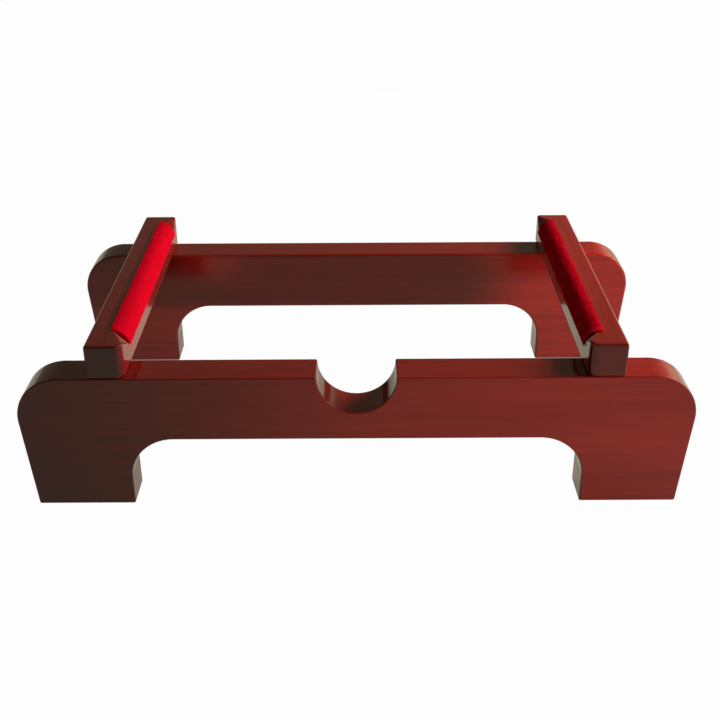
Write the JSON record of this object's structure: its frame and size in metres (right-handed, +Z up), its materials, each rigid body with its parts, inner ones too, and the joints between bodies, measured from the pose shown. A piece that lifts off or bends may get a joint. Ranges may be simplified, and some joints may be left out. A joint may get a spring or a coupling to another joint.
{
  "type": "instrument bench cradle",
  "caption": "Low glued-wood bench cradle: arched boards carry straight bars with felt-covered inner edges, and a round notch, to rest a violin-size instrument on.",
  "frame": {"origin": "centre of the footprint, on the surface that the feet stand on", "axes": "+X along the boards, -Y towards the notched front board, +Z up"},
  "size_m": [0.3, 0.16, 0.0816],
  "materials": {
    "lacquered_wood": "red-brown stain under gloss lacquer",
    "red_felt": "matte pressed felt",
    "bare_beech": "bare turned beech"
  },
  "bodies": {
    "root": {"front_board": "lacquered_wood", "rear_board": "lacquered_wood", "left_bar": "lacquered_wood", "right_bar": "lacquered_wood", "left_felt_pad": "red_felt", "right_felt_pad": "red_felt", "front_left_dowel": "bare_beech", "front_right_dowel": "bare_beech", "rear_left_dowel": "bare_beech", "rear_right_dowel": "bare_beech"}
  },
  "joints": []
}
